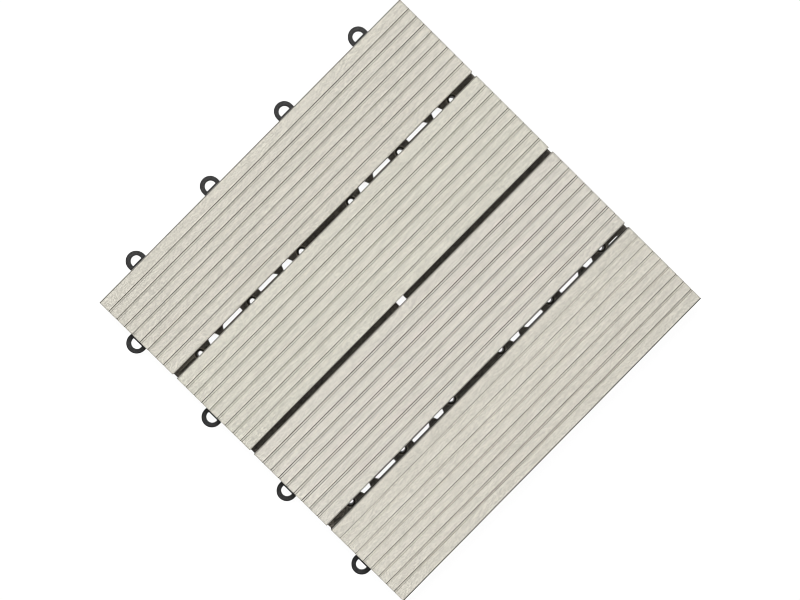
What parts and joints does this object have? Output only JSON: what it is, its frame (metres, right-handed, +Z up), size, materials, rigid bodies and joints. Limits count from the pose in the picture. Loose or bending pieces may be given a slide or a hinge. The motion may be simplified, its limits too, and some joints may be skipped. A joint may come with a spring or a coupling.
{
  "type": "interlocking deck tile",
  "caption": "Square snap-together deck tile: grooved composite boards on a black moulded plastic grid, with loops on two sides and pins on the other two",
  "frame": {"origin": "Middle of the square base on the ground, in the middle of the small drain slot", "axes": "+X runs along the boards, away from the left loops; +Y runs across the boards towards the back loops; +Z is up from the ground to the walking face"},
  "size_m": [0.3112, 0.3112, 0.022],
  "materials": {
    "composite_board": "matt brushed wood-plastic composite, warm light grey",
    "black_grid": "matt black moulded polypropylene",
    "screw_steel": "zinc-plated steel"
  },
  "bodies": {
    "root": {"base_grid": "black_grid", "board_1": "composite_board", "board_2": "composite_board", "board_3": "composite_board", "board_4": "composite_board", "board_screws": "screw_steel"}
  },
  "joints": []
}
